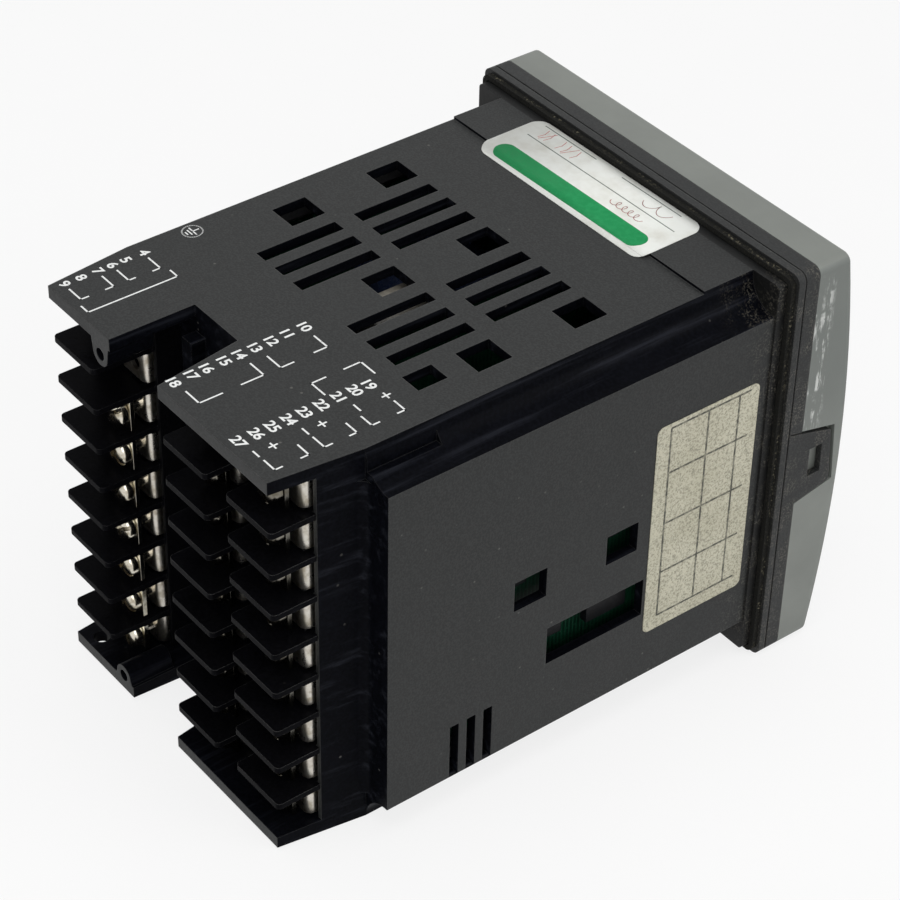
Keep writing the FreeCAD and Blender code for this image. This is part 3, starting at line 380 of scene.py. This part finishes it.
# The gasket is a ring of dark foam rubber between the flange and the panel. Its cut edge is
# open-celled and holds grit.
gasket_foam, tree, shader, where = finish("gasket_foam", colour(0.009, 0.009, 0.007), 0.9,
                                          Specular_IOR_Level=0.2)
cells = node(tree, "TexVoronoi", {"Vector": where, "Scale": 2600.0}).outputs["Distance"]
loose = ramp(tree, noise(tree, where, 1900.0, 3.0, 0.7), 0.54, 0.68)
loose = calc(tree, "MULTIPLY", loose, ramp(tree, noise(tree, where, 160.0, 3.0), 0.4, 0.62,
                                           0.12, 1.0))
x, y, z = position(tree, where)
loose = calc(tree, "MULTIPLY", loose, ramp(tree, y, 1.15 * MM, 0.6 * MM, 0.1, 1.0))
wire(tree, shader, Base_Color=mix(tree, loose, colour(0.005, 0.005, 0.004),
                                  colour(0.16, 0.145, 0.1)),
     Normal=bump(tree, cells, 0.12 * MM))
dress(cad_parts["panel_gasket"], gasket_foam)


# The terminal blocks are two black mouldings held between the hoods, with eight fins to a
# column that keep the wires apart. They leave the mould smooth, without the case's grain.
# The pale edges of the fins, at full strength here, are partly wear and partly painted highlight.
block_black = moulded(
    "terminal_black_plastic", colour(0.0022, 0.0022, 0.0028), 0.3, 0.012, 1500.0, 0.006 * MM,
    0.14 * MM, 1.0, 0.1)[0]
refined("terminal_moulding_left", "terminal_block_left", block_black, "case",
        0.1 * MM)
refined("terminal_moulding_right", "terminal_block_right", block_black,
        "case", 0.1 * MM)


# The terminal plates are strips of nickel plated brass, one to a bay, each bent at one side of
# the bay into the leg that runs forward to the boards.
def plated(name, tint, rough, streak, far=1.0):
    """Brushed plating, darkened on the two columns at -X as painted shade, where only the share
    far of it is left bright.
    """
    material, tree, shader, where = finish(name, tint, rough, Metallic=1.0)
    brushed = node(tree, "Mapping", {"Vector": where, "Scale": (1.0, 1.0, 9.0)}).outputs[0]
    lines = noise(tree, brushed, streak, 3.0, 0.6)
    blots = noise(tree, where, 420.0, 3.0, 0.6)
    dull = colour(tint[0] * 0.6, tint[1] * 0.57, tint[2] * 0.5)
    base = mix(tree, ramp(tree, blots, 0.42, 0.68), tint, dull)
    # Painted shade: the two columns at -X are darkened towards near black.
    painted_shade_columns = ramp(tree, position(tree, where)[0], 3.0 * MM, 8.0 * MM, 1.0 - far, 0.0)
    wire(tree, shader, Base_Color=mix(tree, painted_shade_columns, base, colour(0.02, 0.019, 0.016)),
         Roughness=calc(tree, "ADD", rough - 0.08, calc(tree, "MULTIPLY", blots, 0.22)),
         Normal=bump(tree, lines, 0.004 * MM))
    return material


plate_nickel = plated("plate_nickel", colour(0.62, 0.59, 0.53), 0.27, 900.0)
refined("bent_plates", "terminal_plates", plate_nickel, "case")


# The square washers ride captive on the screws and clamp the wires to the plates. They are
# blanked from sheet and plated, so their edges are soft.
def solids_of(cad_node):
    """The lowest and highest corner of each separate solid of a CAD node."""
    form = bmesh.new()
    form.from_mesh(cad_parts[cad_node].data)
    bmesh.ops.remove_doubles(form, verts=form.verts, dist=0.002 * MM)
    seen = set()
    found = []
    for vert in form.verts:
        if vert in seen:
            continue
        group = [vert]
        seen.add(vert)
        for member in group:
            for edge in member.link_edges:
                other = edge.other_vert(member)
                if other not in seen:
                    seen.add(other)
                    group.append(other)
        low = Vector([min(v.co[i] for v in group) for i in range(3)])
        high = Vector([max(v.co[i] for v in group) for i in range(3)])
        found.append((low, high))
    form.free()
    return found


# The washers on the two -X columns take painted shade.
washer_nickel = plated("washer_nickel", colour(0.5, 0.48, 0.42), 0.15, 1400.0, 0.3)
refined("captive_washers", "square_washers", washer_nickel, "case",
        0.12 * MM)


# The terminal screws are zinc plated M3 steel with a domed head that is cut with both a slot
# and a cross. They are backed out a few turns, and each is left at its own angle.
# The screws on the two -X columns take painted shade.
screw_zinc = plated("screw_zinc", colour(0.66, 0.62, 0.53), 0.16, 1700.0, 0.3)


def lathe(form, profile, steps):
    """A closed turned shape round the Y axis from (radius, y) points on the axis at both ends."""
    ring = [form.verts.new((radius * MM, along * MM, 0)) for radius, along in profile]
    edges = [form.edges.new(pair) for pair in zip(ring, ring[1:])]
    bmesh.ops.spin(form, geom=ring + edges, cent=(0, 0, 0), axis=(0, 1, 0),
                   angle=math.tau, steps=steps, use_merge=True)
    bmesh.ops.remove_doubles(form, verts=form.verts, dist=0.001 * MM)
    bmesh.ops.recalc_face_normals(form, faces=form.faces)


def slab(form, low, high, ease=0.0):
    """A rectangular block between two corners in millimetres, with its edges eased."""
    made = bmesh.ops.create_cube(form, size=1.0)["verts"]
    size = [(h - l) * MM for l, h in zip(low, high)]
    centre = [(h + l) / 2 * MM for l, h in zip(low, high)]
    bmesh.ops.scale(form, verts=made, vec=size)
    bmesh.ops.translate(form, verts=made, vec=centre)
    if ease:
        edges = list({edge for vert in made for edge in vert.link_edges})
        bmesh.ops.bevel(form, geom=edges, offset=ease * MM, segments=2, profile=0.5,
                        affect="EDGES", material=-1)


def solid_of(form, name):
    """A passing object for the boolean, from a bmesh that is freed."""
    mesh = bpy.data.meshes.new(name)
    form.to_mesh(mesh)
    form.free()
    thing = bpy.data.objects.new(name, mesh)
    bpy.context.scene.collection.objects.link(thing)
    return thing


def carved(form, cutter):
    """The mesh of one bmesh with another taken out of it."""
    thing = solid_of(form, "blank")
    tool = solid_of(cutter, "cutter")
    cut = thing.modifiers.new("recess", "BOOLEAN")
    cut.operation = "DIFFERENCE"
    cut.solver = "EXACT"
    cut.use_self = True
    cut.object = tool
    bpy.context.view_layer.update()
    seen = bpy.context.evaluated_depsgraph_get()
    mesh = bpy.data.meshes.new_from_object(thing.evaluated_get(seen))
    bpy.data.objects.remove(thing)
    bpy.data.objects.remove(tool)
    return mesh


def join(form, part, place):
    """Adds one bmesh to another at a place and frees it."""
    bmesh.ops.transform(part, matrix=place, verts=part.verts)
    mesh = bpy.data.meshes.new("part")
    part.to_mesh(mesh)
    part.free()
    form.from_mesh(mesh)
    bpy.data.meshes.remove(mesh)


head_height = 2.4
head = bmesh.new()
lathe(head, [(0, 0), (3.0, 0), (3.2, 0.2), (3.2, 1.3), (3.05, 1.75), (2.6, 2.15), (1.8, 2.34),
             (0, head_height)], 32)
recess = bmesh.new()
slab(recess, (-4, 1.35, -0.45), (4, 3, 0.45))
slab(recess, (-0.42, 0.9, -1.5), (0.42, 3, 1.5))
head_mesh = carved(head, recess)
shank = bmesh.new()
lathe(shank, [(0, -8.6), (1.1, -8.6), (1.5, -8.1), (1.5, 0), (0, 0)], 16)
turns = random.Random(4)
screws = bmesh.new()
for low, high in solids_of("terminal_screws"):
    turn = Matrix.Rotation(turns.uniform(0, math.tau), 4, "Y")
    seat = Matrix.Translation(((low.x + high.x) / 2, high.y - head_height * MM,
                               (low.z + high.z) / 2))
    one = bmesh.new()
    one.from_mesh(head_mesh)
    for face in one.faces:
        face.smooth = True
    for edge in one.edges:
        edge.smooth = len(edge.link_faces) == 2 and edge.calc_face_angle(0.0) < 0.6
    join(screws, one, seat @ turn)
    join(screws, shank.copy(), seat)
shank.free()
backed_out = put("slotted_screws", screws, screw_zinc, "case")
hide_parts("terminal_screws")


# The sticker on the top is glossy white paper. It bridges the step behind the front band in a
# soft slope and is tucked against the gasket. A green band and thin rules are printed on it,
# and it was filled in with a few strokes of a red pen.
sticker, tree, shader, where = finish("sticker_paper", colour(0.78, 0.78, 0.75), 0.42,
                                       Specular_IOR_Level=0.05)
x, y, z = position(tree, where)
print_slant = 0.016
y = calc(tree, "SUBTRACT", y,
         calc(tree, "MULTIPLY", calc(tree, "SUBTRACT", x, 2.0 * MM), print_slant))


def inside(tree, x, y, centre_x, centre_y, half_x, half_y, corner):
    """1 inside a rectangle with rounded corners on a plane, 0 outside; all in metres."""
    dx = calc(tree, "ABSOLUTE", calc(tree, "SUBTRACT", x, centre_x))
    dy = calc(tree, "ABSOLUTE", calc(tree, "SUBTRACT", y, centre_y))
    dx = calc(tree, "MAXIMUM", calc(tree, "SUBTRACT", dx, half_x - corner), 0.0)
    dy = calc(tree, "MAXIMUM", calc(tree, "SUBTRACT", dy, half_y - corner), 0.0)
    far = calc(tree, "SQRT", calc(tree, "ADD", calc(tree, "MULTIPLY", dx, dx),
                                  calc(tree, "MULTIPLY", dy, dy)))
    return ramp(tree, far, corner + 0.04 * MM, corner - 0.04 * MM)


green = inside(tree, x, y, 2.3 * MM, 14.85 * MM, 22.1 * MM, 2.45 * MM, 2.35 * MM)
rules = 0.0
for middle_x, rule_y, half_x in ((16.5, 2.45, 7.9), (2.0, 7.37, 22.2), (-8.2, 2.7, 8.8)):
    rule = inside(tree, x, y, middle_x * MM, rule_y * MM, half_x * MM, 0.12 * MM, 0.1 * MM)
    rules = calc(tree, "MAXIMUM", rules, rule)
fibre = noise(tree, where, 900.0, 4.0, 0.6)
aged = noise(tree, where, 120.0, 4.0, 0.6)
paper = mix(tree, ramp(tree, aged, 0.4, 0.75), colour(0.77, 0.785, 0.75),
            colour(0.63, 0.625, 0.57))
paper = mix(tree, calc(tree, "MULTIPLY", rules, 0.9), paper, colour(0.035, 0.06, 0.045))
band = mix(tree, ramp(tree, fibre, 0.35, 0.7), colour(0.017, 0.235, 0.078),
           colour(0.024, 0.27, 0.094))
paper = mix(tree, green, paper, band)
wire(tree, shader, Base_Color=paper, Roughness=ramp(tree, fibre, 0.3, 0.7, 0.36, 0.5),
     Normal=bump(tree, aged, 0.05 * MM, 0.5))


band_end = 15.6
slope_length = 2.6
band_drop = 0.6 * MM
on_band = 45.905 * MM
paper_thickness = 0.13 * MM
gasket_edge = 1.25 * MM


def sticker_level(y):
    """Height of the sticker's lower face, above the band or on its way down behind it."""
    way = min(max((y - band_end * MM) / (slope_length * MM), 0.0), 1.0)
    return on_band - band_drop * way * way * (3 - 2 * way)


low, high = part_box("top_sticker")
paper_sheet = bmesh.new()
bmesh.ops.create_grid(paper_sheet, x_segments=1, y_segments=1, size=0.5)
bmesh.ops.scale(paper_sheet, verts=paper_sheet.verts, vec=(high[0] - low[0], 17.1 * MM, 1.0))
bmesh.ops.bevel(paper_sheet, geom=paper_sheet.verts[:], offset=3.0 * MM, segments=8,
                profile=0.5, affect="VERTICES", material=-1)
bmesh.ops.rotate(paper_sheet, verts=paper_sheet.verts, matrix=Matrix.Rotation(0.008, 3, "Z"))
bmesh.ops.translate(paper_sheet, verts=paper_sheet.verts,
                    vec=((low[0] + high[0]) / 2, 9.98 * MM, 0))
folds = 13
for fold in range(folds + 1):
    fold_y = (band_end + slope_length * fold / folds) * MM
    bmesh.ops.bisect_plane(paper_sheet, geom=paper_sheet.verts[:] + paper_sheet.edges[:]
                           + paper_sheet.faces[:], plane_co=(0, fold_y, 0),
                           plane_no=(0, 1, 0))
for vert in paper_sheet.verts:
    vert.co.z = sticker_level(vert.co.y)
    vert.co.y = max(vert.co.y, gasket_edge)
for face in paper_sheet.faces:
    face.smooth = True
draped = put("sticker_sheet", paper_sheet, sticker, "case", sheet=True)
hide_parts("top_sticker")
thick = draped.modifiers.new("paper", "SOLIDIFY")
thick.thickness = paper_thickness
thick.offset = 1.0

pen_red, tree, shader, where = finish("pen_red", colour(0.42, 0.07, 0.06), 0.5)
wire(tree, shader, Base_Color=mix(tree, noise(tree, where, 1200.0, 3.0, 0.6),
                                  colour(0.5, 0.2, 0.18), colour(0.32, 0.03, 0.03)))
strokes = bmesh.new()
pen_width = 0.16 * MM
pen_level = on_band + paper_thickness + 0.01 * MM
for slant in (22.4, 20.6, 17.0, 15.3, 12.4):
    ribbon(strokes, [(slant, 3.4), (slant - 0.5, 5.0), (slant - 0.2, 6.6)], pen_width, pen_level)
for centre in (21.0, 14.0):
    ribbon(strokes, [(centre - 0.8, 3.2), (centre + 0.7, 6.9)], pen_width, pen_level)
loop_steps = 60
for start, length, middle, swing, loops in ((-5.0, 8.0, 9.6, 0.9, 4.5),
                                            (-9.0, 6.5, 4.6, 1.3, 1.6)):
    shares = [step / loop_steps for step in range(loop_steps + 1)]
    ribbon(strokes, [(start - length * share + 0.7 * math.cos(loops * share * math.tau),
                      middle + swing * math.sin(loops * share * math.tau))
                     for share in shares], pen_width, pen_level)
put("pen_strokes", strokes, pen_red, "case", sheet=True)


# The label on the -X side is uncoated cream paper, stuck flat on the sleeve. It is printed with
# an empty ruled form, and the paper is rubbed and speckled with age.
label, tree, shader, where = finish("label_paper", colour(0.42, 0.4, 0.31), 0.75)
x, y, z = position(tree, where)
half_line = 0.24 * MM
marks = [inside(tree, y, z, column_y * MM, -0.15 * MM, half_line, 23.6 * MM, 0.1 * MM)
         for column_y in (27.7, 18.2, 10.3)]
marks += [inside(tree, y, z, 17.5 * MM, row_z * MM, 10.2 * MM, half_line, 0.1 * MM)
          for row_z in (12.5, -0.1, -12.5, 23.4, -23.7)]
lines = 0.0
for mark in marks:
    lines = calc(tree, "MAXIMUM", lines, mark)
mottle = noise(tree, where, 2300.0, 4.0, 0.75)
broad = noise(tree, where, 70.0, 3.0, 0.6)
paper = mix(tree, ramp(tree, broad, 0.35, 0.7), colour(0.53, 0.51, 0.4),
            colour(0.46, 0.44, 0.335))
paper = mix(tree, ramp(tree, mottle, 0.44, 0.64, 0.0, 0.8), paper, colour(0.17, 0.16, 0.12))
rubbed = ramp(tree, noise(tree, where, 640.0, 3.0, 0.6), 0.4, 0.58, 0.6, 0.95)
paper = mix(tree, calc(tree, "MULTIPLY", lines, rubbed), paper, colour(0.035, 0.035, 0.028))
wire(tree, shader, Base_Color=paper, Normal=bump(tree, mottle, 0.02 * MM))
dress(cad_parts["side_label"], label)


# The boards are green glass laminate with a solder mask over etched tracks and tinned pads.
# They stand in the grooves of the inner frame.
board_green, tree, shader, where = finish("circuit_board", colour(0.003, 0.03, 0.016), 0.34,
                                          Specular_IOR_Level=0.3)
tracks = node(tree, "TexBrick", {"Vector": node(tree, "Mapping", {
    "Vector": where, "Rotation": (0.0, math.pi / 2, 0.0)}).outputs[0],
    "Scale": 300.0, "Mortar Size": 0.05, "Bias": 0.0, "Brick Width": 1.6,
    "Row Height": 0.28}).outputs["Fac"]
pads = specks(tree, where, 360.0, 0.22, 0.4)
mask = mix(tree, ramp(tree, noise(tree, where, 90.0, 2.0), 0.35, 0.65),
           colour(0.001, 0.012, 0.006), colour(0.004, 0.045, 0.02))
mask = mix(tree, calc(tree, "MULTIPLY", tracks, 0.5), mask, colour(0.006, 0.06, 0.03))
mask = mix(tree, pads, mask, colour(0.3, 0.3, 0.27))
wire(tree, shader, Base_Color=mask, Metallic=calc(tree, "MULTIPLY", pads, 0.9),
     Normal=bump(tree, tracks, 0.03 * MM))
for name in ("processor_board", "power_board", "option_board", "rear_board", "display_board"):
    dress(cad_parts[name], board_green)


# The chips are black epoxy packages soldered on the face of the boards, with a matt moulded
# skin.
def plain_plastic(name, base_colour, rough, specular=0.5):
    """A moulded or painted finish whose tone and gloss wander a little."""
    material, tree, shader, where = finish(name, base_colour, rough,
                                           Specular_IOR_Level=specular)
    cloud = noise(tree, where, 900.0, 3.0, 0.6)
    darker = colour(base_colour[0] * 0.7, base_colour[1] * 0.7, base_colour[2] * 0.7)
    wire(tree, shader, Base_Color=mix(tree, ramp(tree, cloud, 0.35, 0.65), base_colour, darker),
         Roughness=ramp(tree, cloud, 0.3, 0.7, rough - 0.06, rough + 0.08),
         Normal=bump(tree, cloud, 0.01 * MM))
    return material


chip_plastic = plain_plastic("chip_plastic", colour(0.006, 0.006, 0.007), 0.45, specular=0.2)
dress(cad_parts["processor_chips"], chip_plastic)
dress(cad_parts["option_chips"], chip_plastic)


# The power parts stand on the inner faces of the boards: sealed relays, a transformer of stacked
# steel sheets round a taped winding, sleeved capacitors and a finned aluminium heat sink.
dress(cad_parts["relays"], plain_plastic("relay_plastic", colour(0.28, 0.26, 0.22), 0.4))
dress(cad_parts["transformer_core"], plated(
    "core_steel", colour(0.2, 0.19, 0.18), 0.5, 600.0))
dress(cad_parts["transformer_winding"], plain_plastic(
    "winding_tape", colour(0.45, 0.3, 0.05), 0.4))
dress(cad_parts["capacitors"], plain_plastic(
    "capacitor_sleeve", colour(0.02, 0.03, 0.07), 0.3))
dress(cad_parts["heat_sink"], plated("sink_aluminium", colour(0.6, 0.6, 0.6), 0.4, 700.0))


# The inner frame is one black moulding that carries the boards and slides out with the bezel.
# Connectors join the boards, steel screws hold them, and a rubber cord seals the bezel.
dress(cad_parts["board_connectors"], plain_plastic(
    "connector_plastic", colour(0.05, 0.05, 0.05), 0.45))
dress(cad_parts["frame_screws"], plated(
    "frame_screw_steel", colour(0.55, 0.54, 0.52), 0.3, 1500.0))
dress(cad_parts["chassis_frame"], plain_plastic(
    "frame_plastic", colour(0.02, 0.02, 0.021), 0.5))
dress(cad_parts["bezel_seal"], plain_plastic(
    "seal_rubber", colour(0.02, 0.02, 0.02), 0.7))


# The front bezel is a mid grey moulding with a satin grain, slightly crowned in height. Its -X
# side has been rubbed and scuffed.
bezel_grey, tree, shader, where = finish("bezel_grey_plastic", colour(0.17, 0.18, 0.17), 0.5)
x, y, z = position(tree, where)
cloud = noise(tree, where, 60.0, 3.0, 0.6)
grain = noise(tree, where, 2400.0, 2.0)
side_only = ramp(tree, x, -47.2 * MM, -47.7 * MM)
stretched = node(tree, "Mapping", {"Vector": where, "Scale": (1.0, 1.0, 0.13)}).outputs[0]
rub = ramp(tree, noise(tree, stretched, 800.0, 5.0, 0.7), 0.5, 0.6)
broken = ramp(tree, noise(tree, where, 210.0, 4.0, 0.7), 0.4, 0.56)
height_mask = calc(tree, "MULTIPLY", ramp(tree, z, 4.0 * MM, 14.0 * MM),
                   ramp(tree, z, 46.5 * MM, 43.0 * MM))
depth_mask = calc(tree, "MULTIPLY", ramp(tree, y, -11.0 * MM, -8.2 * MM),
                  ramp(tree, y, -5.0 * MM, -5.6 * MM))
scuff = calc(tree, "MULTIPLY", calc(tree, "MULTIPLY", side_only, height_mask), rub)
scuff = calc(tree, "MULTIPLY", calc(tree, "MULTIPLY", scuff, depth_mask), broken)
base = mix(tree, ramp(tree, cloud, 0.3, 0.7), colour(0.175, 0.187, 0.17),
           colour(0.158, 0.168, 0.154))
# Painted shade: the -X side darkens towards its top.
upper = calc(tree, "MULTIPLY", side_only, ramp(tree, z, -15.0 * MM, 25.0 * MM, 0.0, 0.75))
base = mix(tree, upper, base, colour(0.115, 0.127, 0.118))
base = mix(tree, calc(tree, "MULTIPLY", scuff, 0.9), base, colour(0.55, 0.56, 0.54))
wire(tree, shader, Base_Color=base,
     Roughness=calc(tree, "ADD", ramp(tree, cloud, 0.3, 0.7, 0.46, 0.54),
                    calc(tree, "MULTIPLY", scuff, 0.2)),
     Normal=bump(tree, calc(tree, "ADD", grain, calc(tree, "MULTIPLY", scuff, 0.5)),
                 0.014 * MM))
refined("bezel_moulding", "front_bezel", bezel_grey, "chassis", 0.3 * MM, 3)


# The readouts are black display modules behind a lens of clear acrylic, tinted dark red and
# snapped into the bezel.
window_smoke, tree, shader, where = finish(
    "window_smoke", colour(0.05, 0.012, 0.012), 0.08, Transmission_Weight=0.6, IOR=1.49)
haze = noise(tree, where, 300.0, 3.0, 0.6)
wire(tree, shader, Roughness=ramp(tree, haze, 0.4, 0.7, 0.05, 0.14))
dress(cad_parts["display_window"], window_smoke)
for name in ("display_upper", "display_lower"):
    dress(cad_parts[name], plain_plastic(name + "_black", colour(0.01, 0.01, 0.01), 0.3))


# The eight keys are grey silicone caps that stand through the bezel on one mat of rubber domes,
# which lies on the display board.
dress(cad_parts["keypad_mat"], plain_plastic("mat_rubber", colour(0.06, 0.06, 0.06), 0.7))
key_material = plain_plastic("key_rubber", colour(0.09, 0.095, 0.1), 0.55)
for number in range(1, 9):
    dress(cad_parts["key_" + str(number)], key_material)


# The studio is a pale tabletop, three large soft lights and the camera. The tabletop is tilted
# to meet the flange's lower edge and the lower rear edge of the sleeve, on which the part rests.
scene = bpy.context.scene
scene.view_settings.view_transform = "Standard"
camera_data = bpy.data.cameras.new("camera")
camera_data.sensor_width = 36.0
camera_data.lens = 113.298
camera_data.clip_start = 0.01
camera = bpy.data.objects.new("camera", camera_data)
scene.collection.objects.link(camera)
right = Vector((-0.6094, -0.7927, 0.0170)).normalized()
back = Vector((-0.61557, 0.48650, 0.62000)).normalized()
up = back.cross(right).normalized()
right = up.cross(back)
turn = Matrix((right, up, back)).transposed().to_4x4()
camera.matrix_world = Matrix.Translation((-0.35122, 0.32265, 0.35112)) @ turn
scene.camera = camera

world = bpy.data.worlds.new("studio")
scene.world = world
world.use_nodes = True
tree = world.node_tree
seen = tree.nodes.new("ShaderNodeLightPath").outputs
share = calc(tree, "MAXIMUM", seen["Is Camera Ray"],
             calc(tree, "MAXIMUM", seen["Is Glossy Ray"], seen["Is Transmission Ray"]))
sky = mix(tree, share, colour(0.4, 0.4, 0.4), colour(1.0, 1.0, 1.0))
tree.links.new(sky, tree.nodes["Background"].inputs["Color"])


def soft_light(name, place, size, power):
    """A square lamp that looks at the middle of the part."""
    lamp = bpy.data.lights.new(name, "AREA")
    lamp.shape = "SQUARE"
    lamp.size = size
    lamp.energy = power
    holder = bpy.data.objects.new(name, lamp)
    scene.collection.objects.link(holder)
    way = Vector((0, 0.05, 0)) - Vector(place)
    turned = way.to_track_quat("-Z", "Y").to_matrix().to_4x4()
    holder.matrix_world = Matrix.Translation(place) @ turned


soft_light("over", (-0.05, 0.15, 0.95), 0.9, 5.6)
soft_light("rear_left", (-0.75, 0.75, 0.5), 0.7, 2.9)
soft_light("front_left", (-0.8, -0.5, 0.45), 0.7, 2.9)

floor_form = bmesh.new()
bmesh.ops.create_grid(floor_form, x_segments=1, y_segments=1, size=3.0)
flange_reach = 2.7
sleeve_depth = 94.3
rest_slope = math.atan(flange_reach / sleeve_depth)
bmesh.ops.rotate(floor_form, verts=floor_form.verts,
                 matrix=Matrix.Rotation(rest_slope, 3, "X"))
bmesh.ops.translate(floor_form, verts=floor_form.verts, vec=(0, 0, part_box("case")[0][2]))
floor_mesh = bpy.data.meshes.new("floor")
floor_form.to_mesh(floor_mesh)
floor_form.free()
floor = bpy.data.objects.new("floor", floor_mesh)
scene.collection.objects.link(floor)
table_white, tree, shader, where = finish("table_white", colour(0.8, 0.8, 0.8), 0.7)
dust = noise(tree, where, 40.0, 3.0)
wire(tree, shader, Base_Color=mix(tree, dust, colour(0.82, 0.82, 0.82), colour(0.78, 0.78, 0.78)))
glow = node(tree, "Emission", {"Color": colour(1.0, 1.0, 1.0), "Strength": 1.0})
path = tree.nodes.new("ShaderNodeLightPath").outputs
share = calc(tree, "MAXIMUM", path["Is Camera Ray"],
             calc(tree, "MAXIMUM", path["Is Glossy Ray"], path["Is Transmission Ray"]))
share = calc(tree, "MULTIPLY", share, 0.8)
mixed = node(tree, "MixShader", {0: share, 1: shader.outputs[0], 2: glow.outputs[0]})
tree.links.new(mixed.outputs[0], tree.nodes["Material Output"].inputs["Surface"])
floor.data.materials.append(table_white)
